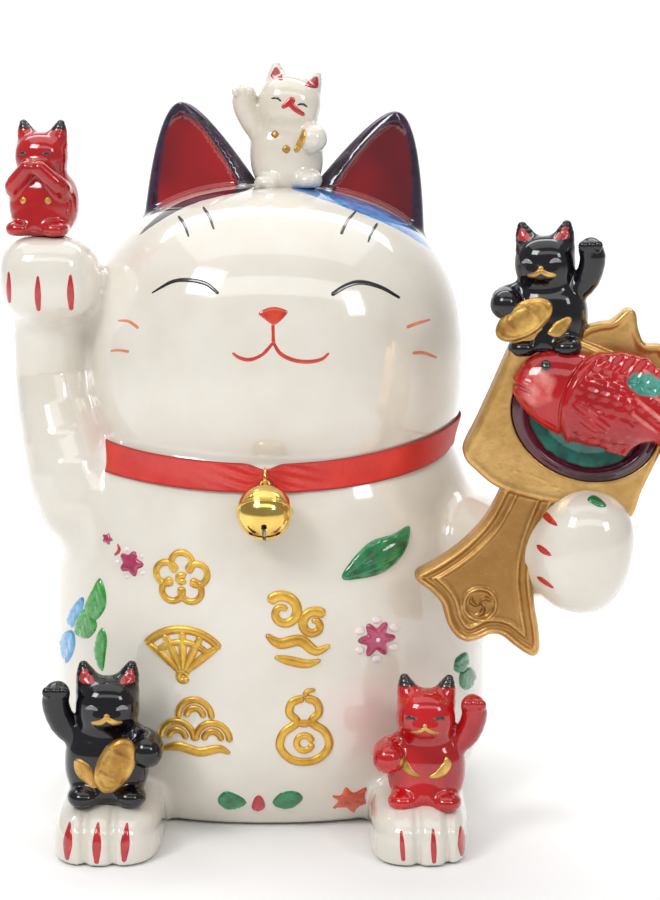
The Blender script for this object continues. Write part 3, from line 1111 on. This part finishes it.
def bream_local(x, y, z):
    """Head to the left, on its own axes: across, out of the plaque and up."""
    zz = z + 0.5
    tall = np.where(zz > 0, BACK(x), BELLY(x))
    thick = 0.62 * (BACK(x) + BELLY(x)) / 2 + 0.4
    g = np.sqrt((zz / tall) ** 2 + (y / thick) ** 2)
    body = smax(smax((g - 1) * np.minimum(tall, thick) * 0.85, -19.6 - x, 0.8), x - 16.5, 1.0)
    row = np.floor((z + 30) / 2.1)
    a = np.mod(x + 60 + np.mod(row, 2) * 1.4, 2.8) - 1.4
    b = np.mod(z + 30, 2.1) - 1.05
    scales = 0.24 * np.clip(1 - np.sqrt((a / 1.5) ** 2 + (b / 1.2) ** 2), 0, 1)
    arc = x + 8.6 - 0.035 * z * z
    body = body - scales / (1 + np.exp(-(arc - 1.2) / 0.5)) / (1
        + np.exp(-(8.5 - x) / 0.8)) * np.clip(-y / 2 - 0.4, 0, 1)
    body = body - 0.4 * np.exp(-((arc - 0.5) / 0.7) ** 2) + 0.35 * np.exp(-((arc + 0.8) / 0.35) ** 2)
    mouth = (z + 0.9 + 0.12 * (x + 20)) ** 2 / 0.2 + np.clip(x + 16.4, 0, 9) ** 2 / 0.4
    body = body + 0.75 * np.exp(-mouth)
    body = body - 0.35 * np.exp(-((z + 0.1) ** 2 / 0.5 + np.clip(x + 17.0, 0, 9) ** 2 / 0.5))
    comb = np.cos(x * 2.6 - z * 0.9)
    fin = smax(polygon([(-9, 6), (-5.5, 9.8), (0, 12.0), (5.5, 12.4), (11.2, 9.6), (14, 5.0),
                        (6, 3)])(x, z),
               np.abs(y + 0.9) - 1.9 - 0.26 * comb, 0.8)
    tail_d = polygon([(11.5, 1.4), (14.0, 4.6), (18.6, 9.2), (20.2, 8.0), (18.8, 2.0), (19.0, -3.0),
                      (19.8, -8.0), (18.0, -9.2),
                      (13.6, -4.4), (11.5, -1.6)])(x, z)
    tail_f = smax(tail_d, np.abs(y + 0.2) - 1.9 - 0.24 * np.cos(np.arctan2(z, x - 8) * 24), 0.7)
    low = smax(polygon([(0, -6), (3.5, -8.9), (7.5, -8.8), (9, -5.0)])(x, z),
               np.abs(y + 0.8) - 1.6 - 0.2 * comb, 0.9)
    side_fin = (ball((-2.6, -5.6, -2.4), (4.6, 1.2, 2.1), 2, (24, "y"))(x, y, z)
                - 0.14 * np.cos(z * 4.6 + x * 1.6))
    ridge = (0.3 * np.exp(-((np.mod(z * 1.0 + 0.42 * x + 40, 3.0) - 1.5) / 0.4) ** 2)
             * np.clip((x - 4) / 3, 0, 1) * (z > -2))
    d = smin(body - ridge * np.clip(-y / 2, 0, 1), np.minimum(fin, low), 0.9)
    d = smin(d, tail_f, 1.6)
    return smin(d, side_fin, 0.4)


def bream_paint(n, colour):
    rough_edge = n.math("MULTIPLY", n.math("SUBTRACT", n.noise(260, 3), 0.5), 1.1)
    pale = n.mix(n.ramp(n.noise(300, 3), 0.35, 0.65), (0.66, 0.07, 0.07), (0.80, 0.30, 0.26))
    colour = n.mix(n.math("MULTIPLY", n.ramp(n.math("ADD", n.attr("cheek"), rough_edge), 1.15, 0.75), 0.85),
                   colour, pale)
    colour = n.mix(n.math("MULTIPLY", n.ramp(n.math("ADD", n.attr("stripe"), rough_edge), 0.9, 0.4), 0.8),
                   colour, pale)
    teal = n.mix(n.ramp(n.noise(260, 3), 0.35, 0.65), (0.02, 0.19, 0.15), (0.10, 0.42, 0.33))
    d = n.math("ADD", n.attr("teal"), n.math("MULTIPLY", rough_edge, 0.7))
    return n.mix(n.ramp(d, 1.05, 0.85), colour, teal)


BREAM = glaze("bream_glaze", (0.60, 0.006, 0.010), (0.34, 0.002, 0.006), paint=bream_paint, rough=0.06,
              wave=0.3, coat=0.5)


def make_mallet():
    step = 0.42
    p, q = net(mallet_field, (-22, -5.6, -55), (21, 5.6, 28), step)
    hd = HANDLE(p[:, 0], p[:, 2])
    ring_d = np.abs(np.sqrt((p[:, 0] + 3.6) ** 2 + (p[:, 2] + 44.4) ** 2) - 3.4)
    flat = np.clip(-hd / 0.8, 0, 1) * np.clip(-(p[:, 2] + 17) / 4, 0,
                                              1) * np.clip(1 - 1.3 * handle_rim(hd), 0, 1)
    put("lucky_mallet_casting", on_mallet(p) + M_AT, q, MALLET_GOLD, on_mallet(normals_of(mallet_field, p)),
        {"flat": flat * np.clip(ring_d / 0.8, 0.2, 1)}, ["lucky_mallet"], slot="gilding")
    p, q = net(dish_field, (-16.5, -6.5, -13), (17.5, -0.6, 15.5), 0.4)
    put("dish_bowl", on_mallet(p) + M_AT, q, DISH, on_mallet(normals_of(dish_field, p)),
        {"depth": dish_ring(p[:, 0], p[:, 2])}, ["fish_dish"], slot="maroon_glaze")

    def about(v):
        x, y, z = turned(v[:, 0], v[:, 1], v[:, 2], (0, 0, 0), -B_TILT, "y")
        return np.stack([x, y, z], 1)
    p, q = net(bream_local, (-21.5, -8.5, -12.5), (22, 7.5, 14), 0.33)
    x, z = p[:, 0], p[:, 2]
    stripe = (np.abs(np.mod(z + 0.42 * x + 40.4, 3.0) - 1.5) / 0.7
              + np.clip(5.5 - x, 0, 9) + np.clip(-1 - z, 0, 9) * 0.5)
    attrs = {"cheek": np.sqrt(((x + 14.8) / 3.1) ** 2 + ((z - 0.2) / 3.6) ** 2) / 1.1, "stripe": stripe,
             "teal": np.sqrt(((x - 7.0) / 4.4) ** 2 + ((z - 7.2) / 2.5) ** 2)}
    put("sea_bream_figure", about(p) + B_AT, q, BREAM, about(normals_of(bream_local, p)), attrs,
        ["sea_bream"], slot="red_glaze")
    v, f = fill(bream_local, smooth_loop(ring(-14.6, 5.0, 1.05, 0)[:-1], 28), 0.5, 0.3, 0.8, -12)
    put("sea_bream_eye", about(v) + B_AT, f, BLACK_LINE)


make_mallet()


# ------------------------------------------------------------ collar and bell
PIVOT, BELL = np.array([0, -39.5, 80.3]), np.array([0, -45.5, 73.4])
LEAN = (BELL - PIVOT) / np.linalg.norm(BELL - PIVOT)
REACH = float(np.linalg.norm(BELL - PIVOT))


def bell_axes(p):
    """From the bell's own upright axes to the leaning ones."""
    up = -LEAN
    back = np.array([0, up[2], -up[1]])
    return p[:, 0:1] * np.array([1.0, 0, 0]) + p[:, 1:2] * back + p[:, 2:3] * up


def shell(x, y, z):
    r = np.sqrt(x * x + y * y + z * z)
    return np.abs(r - 5.75) - 0.25


def belt(x, y, z):
    r = np.sqrt(x * x + y * y)
    return smax(np.abs(r - 5.86) - 0.26, np.abs(z) - 0.26, 0.16)


def bell_upper(x, y, z):
    d = smin(smax(shell(x, y, z), -z, 0.05), smax(belt(x, y, z), 0.03 - z, 0.05), 0.25)
    eye_z = REACH - 2.45
    eye = np.sqrt((np.sqrt(x * x + (z - eye_z) ** 2) - 0.95) ** 2 + y * y) - 0.3
    d = smin(d, eye, 0.25)
    for side in (-1, 1):
        hole = np.sqrt((x - side * 2.4) ** 2 + y * y) - 0.55
        d = smax(d, -np.where(z > 1, hole, 9.0), 0.12)
    return d


def bell_lower(x, y, z):
    d = smin(smax(shell(x, y, z), z, 0.05), smax(belt(x, y, z), z + 0.03, 0.05), 0.25)
    for a, b in ((x, y), (y, x)):
        t = np.clip(a, -2.9, 2.9)
        slot_d = np.sqrt((a - t) ** 2 + b * b) - np.where(np.abs(a) > 2.4, 0.55, 0.33)
        d = smax(d, -np.where(z < -1, slot_d, 9.0), 0.12)
    return d


def bell_loop(x, y, z):
    return np.sqrt((np.sqrt(y * y + (z - REACH + 0.55) ** 2) - 1.9) ** 2 + x * x) - 0.35


def brass():
    n = Nodes("polished_brass")
    tarnish = n.ramp(n.noise(240, 4, 0.6), 0.42, 0.75)
    n.set(n.bsdf, Base_Color=n.mix(tarnish, (0.93, 0.66, 0.17), (0.80, 0.50, 0.10)), Metallic=1.0,
          Coat_Weight=0.5,
          Coat_Roughness=0.03, Roughness=n.math("ADD", n.math("MULTIPLY", n.noise(700, 3), 0.10), 0.07))
    n.bump(n.noise(300, 2), 0.06, 0.0002)
    return n.m


def steel():
    n = Nodes("pellet_steel")
    n.set(n.bsdf, Base_Color=n.mix(n.noise(500, 3), (0.45, 0.45, 0.46), (0.62, 0.61, 0.6)), Metallic=1.0,
          Roughness=n.math("ADD", n.math("MULTIPLY", n.noise(900, 3), 0.25), 0.25))
    n.bump(n.noise(900, 3), 0.3, 0.0001)
    return n.m


def satin():
    """Red satin ribbon: fine ribs across, silky sheen and darker selvedges."""
    n = Nodes("red_satin")
    wave = n.add("ShaderNodeTexWave", wave_type="BANDS", bands_direction="X")
    n.set(wave, Vector=n.attr3("around"), Scale=1.0, Distortion=0.6, Detail=2.0, Detail_Scale=2.0)
    weave = wave.outputs["Fac"]
    colour = n.mix(n.ramp(n.noise(110, 3), 0.35, 0.7), (0.62, 0.012, 0.008), (0.80, 0.035, 0.016))
    colour = n.mix(n.math("MULTIPLY", weave, 0.30), colour, (0.42, 0.006, 0.006))
    colour = n.mix(n.ramp(n.attr("rim"), 0.80, 1.0), colour, (0.45, 0.01, 0.008))
    n.set(n.bsdf, Base_Color=colour, Sheen_Weight=0.5, Sheen_Roughness=0.35, Anisotropic=0.6,
          Specular_IOR_Level=0.6,
          Roughness=n.math("ADD", n.math("MULTIPLY", n.noise(600, 3), 0.16), 0.34))
    n.set(n.bsdf, Sheen_Tint=(1.0, 0.45, 0.35))
    n.bump(n.math("ADD", weave, n.math("MULTIPLY", n.noise(900, 2), 0.6)), 0.45, 0.00012)
    return n.m


def hull(x, y, z):
    return smin(head(x, y, z), torso(x, y, z), 1.2)


def sag(x, y):
    """How far the ribbon's middle rises from the front to the sides and the back."""
    t = np.clip(np.abs(x) / 41, 0, 1) ** 2
    side = 4.5 + 1.2 * np.clip(x / 41, -1, 1)
    return np.where(y > 0, side, side * t)


def make_ribbon():
    count, rows = 360, np.linspace(-1, 1, 15)
    t = np.linspace(0, 2 * math.pi, count, endpoint=False) - math.pi / 2
    ct, st = np.cos(t), np.sin(t)
    gap = 0.42

    def radius(z):
        r = np.full(count, 62.0)
        for _ in range(60):
            r -= np.clip(hull(r * ct, r * st, z) * 0.8, -1, 4)
        return r
    mid = NECK - 0.4 + sag(40 * ct, 36 * st)
    for _ in range(2):
        r = radius(mid)
        mid = NECK - 0.4 + sag(r * ct, r * st)
    x_near = radius(mid) * ct
    front = (st < 0)
    pinch = np.exp(-(x_near / 2.4) ** 2) * front
    out = np.exp(-(x_near / 3.2) ** 2) * front
    low, high, r0 = radius(mid - 3.0), radius(mid + 3.0), radius(mid)
    lift = np.maximum(r0 - (low + high) / 2, 0)
    low, high = low + lift + gap, high + lift + gap
    verts, around, rim = [], [], []
    sideways = np.concatenate([[0], np.cumsum(np.hypot(np.diff(r0 * ct), np.diff(r0 * st)))])
    for face in (1, -1):
        for u in rows:
            r = low + (high - low) * (u + 1) / 2
            crumple = 0.22 * np.sin(u * 9 + 0.8 * x_near) * np.exp(-(x_near / 8) ** 2) * front
            r = r + 0.10 * np.sin(5 * t + 2 * u) + crumple + out * (38.9 - 37.2) * 1.0 + (0.16
                if face > 0 else -0.06)
            r = r + pinch * 0.55 * face * np.sqrt(np.clip(1 - u * u, 0, 1))
            z = mid + 3.0 * u * (1 - 0.72 * pinch) + pinch * (PIVOT[2] - mid) + 0.12 * np.sin(3 * t)
            verts.append(np.stack([r * ct, r * st, z], 1))
            around.append(np.stack([sideways * 0.9, np.full(count, u), np.zeros(count)], 1))
            rim.append(np.full(count, abs(u)))
    n = len(rows)
    order = list(range(n)) + list(range(2 * n - 1, n - 1, -1))
    faces = []
    for a, b in zip(order, order[1:] + order[:1]):
        i = np.arange(count)
        j = (i + 1) % count
        faces.append(np.stack([a * count + i, a * count + j, b * count + j, b * count + i], 1))
    o = put("collar_ribbon_satin", np.vstack(verts), np.vstack(faces), SATIN,
            attrs={"rim": np.concatenate(rim)},
            replaces=["collar_ribbon"], slot="red_satin")
    o.data.attributes.new("around", "FLOAT_VECTOR", "POINT").data.foreach_set("vector",
        np.vstack(around).ravel().astype(f32))
    back = radius(NECK + 4.2 + 0 * t)[count // 2] + gap
    lump = ball((0, back + 1.0, NECK + 4.0), (3.4, 1.9, 3.3), 2.6)

    def knot(x, y, z):
        return lump(x, y, z) + 0.28 * np.sin(x * 2.2 + 0.7 * z) * np.clip(1
            - np.abs(z - NECK - 4.0) / 3.4, 0, 1)
    p, q = net(knot, (-4.5, back - 2, NECK - 1), (4.5, back + 4, NECK + 9), 0.25)
    parts = [(p, q.tolist())]
    for side in (-1, 1):
        m, k = 40, 9
        verts = []
        for face in (1, -1):
            for i, s in enumerate(np.linspace(0, 1, m)):
                cx = side * (1.0 + 6.2 * s ** 0.8)
                cz = NECK + 2.6 - 20.0 * s
                for u in np.linspace(-1, 1, k):
                    w = 1.4 + 1.5 * min(1, 2.2 * s)
                    notch = 1.6 * (1 - abs(u)) * (1 if s > 0.97 else 0)
                    verts.append((cx + u * w, 0, cz + 0.25 * u * side * w + notch,
                                  face * 0.16 + 0.5 + 0.35 * math.sin(7 * s + u)))
        v = np.array(verts)
        y = np.full(len(v), 60.0)
        for _ in range(60):
            y -= np.clip(hull(v[:, 0], y, v[:, 2]) * 0.8, -1, 4)
        grid = np.stack([v[:, 0], y + v[:, 3] + 0.3, v[:, 2]], 1)
        faces = []
        for i in range(m - 1):
            for u in range(k - 1):
                a = i * k + u
                faces.append((a, a + 1, a + k + 1, a + k))
                b = a + m * k
                faces.append((b, b + k, b + k + 1, b + 1))
            for u in (0, k - 1):
                a = i * k + u
                faces.append((a, a + k, a + k + m * k, a + m * k))
        for u in range(k - 1):
            a = (m - 1) * k + u
            faces.append((a, a + 1, a + 1 + m * k, a + m * k))
        parts.append((grid, faces))
    o = put("collar_knot_satin", *join(parts), SATIN, replaces=["collar_knot"], slot="red_satin")
    co = (np.array([v.co[:] for v in o.data.vertices]) * 900).astype(f32)
    o.data.attributes.new("around", "FLOAT_VECTOR", "POINT").data.foreach_set("vector", co.ravel())


def make_bell():
    step = 0.14
    metal = brass()
    for name, f, lo, hi, node in (
            ("bell_top", bell_upper, (-6.7, -6.7, -0.5), (6.7, 6.7, 8.6), "bell_upper_half"),
            ("bell_bottom", bell_lower, (-6.7, -6.7, -6.4), (6.7, 6.7, 0.6), "bell_lower_half")):
        p, q = net(f, lo, hi, step)
        put(name, bell_axes(p) + BELL, q, metal, bell_axes(normals_of(f, p)), replaces=[node], body="bell",
            slot="bell_brass")
    p, q = net(bell_loop, (-0.8, -2.6, REACH - 3.1), (0.8, 2.6, REACH + 2.1), step * 0.8)
    put("bell_ring", bell_axes(p) + BELL, q, metal, bell_axes(normals_of(bell_loop, p)),
        replaces=["bell_loop"], body="loop",
        slot="bell_brass")
    at = BELL - np.array([0, 0, 3.75])
    f = ball(tuple(at), 1.6)
    p, q = net(f, at - 2, at + 2, 0.25)
    put("bell_clapper", p, q, steel(), normals_of(f, p), replaces=["bell_pellet"], body="pellet",
        slot="pellet_steel")


SATIN = satin()
make_ribbon()
make_bell()


# ------------------------------------------------------------ stage
def studio():
    s = bpy.context.scene
    cam = bpy.data.objects.new("camera", bpy.data.cameras.new("camera"))
    s.collection.objects.link(cam)
    tilt = math.radians(10)
    cam.data.sensor_width, cam.data.lens = 36, 95.24
    cam.data.clip_start, cam.data.clip_end = 0.01, 20
    away, across, height = 550, 13.9, 78.9
    spot = np.array([across, -away * math.cos(tilt), height + away * math.sin(tilt)])
    cam.location = (spot + SHIFT) / 1000
    cam.rotation_euler = (math.radians(80), 0, 0)
    s.camera = cam
    me = bpy.data.meshes.new("floor")
    prof = [(-2.5, 0.0), (0.5, 0.0), (0.8, 0.02), (1.05, 0.1), (1.2, 0.3), (1.25, 0.6), (1.25, 2.5)]
    verts = [(x, y, z) for y, z in prof for x in (-3, 3)]
    me.from_pydata(verts, [], [(2 * i, 2 * i + 1, 2 * i + 3, 2 * i + 2) for i in range(len(prof) - 1)])
    me.polygons.foreach_set("use_smooth", [True] * len(me.polygons))
    floor = bpy.data.objects.new("floor", me)
    s.collection.objects.link(floor)
    n = Nodes("floor_paper")
    n.set(n.bsdf, Base_Color=n.mix(n.noise(8), (0.93, 0.93, 0.93), (0.96, 0.96, 0.96)), Roughness=0.9)
    me.materials.append(n.m)
    world = bpy.data.worlds.new("world")
    s.world = world
    world.use_nodes = True
    world.node_tree.nodes["Background"].inputs[0].default_value = (1, 1, 1, 1)
    world.node_tree.nodes["Background"].inputs[1].default_value = 0.30

    def area(name, at, to, size, power, colour=(1, 1, 1)):
        d = bpy.data.lights.new(name, "AREA")
        d.shape, d.size, d.size_y, d.energy, d.color = "RECTANGLE", size[0], size[1], power, colour
        o = bpy.data.objects.new(name, d)
        s.collection.objects.link(o)
        o.location = at
        o.rotation_euler = (Vector(to) - Vector(at)).to_track_quat("-Z", "Y").to_euler()

    area("key", (-0.50, -0.60, 0.72), (0, 0, 0.08), (0.30, 0.30), 3.2)
    area("window", (0.52, -0.62, 0.50), (0, 0, 0.09), (0.16, 0.22), 0.9)
    area("top", (0, 0.05, 1.0), (0, 0, 0.05), (1.3, 1.0), 4.4)
    area("floor_front", (0, -1.0, 0.9), (0, -0.3, 0.0), (1.6, 0.3), 2.4)
    area("backdrop", (0, 0.45, 1.0), (0, 1.0, 0.1), (1.6, 0.4), 9.0)
    s.view_settings.view_transform = "Standard"


studio()
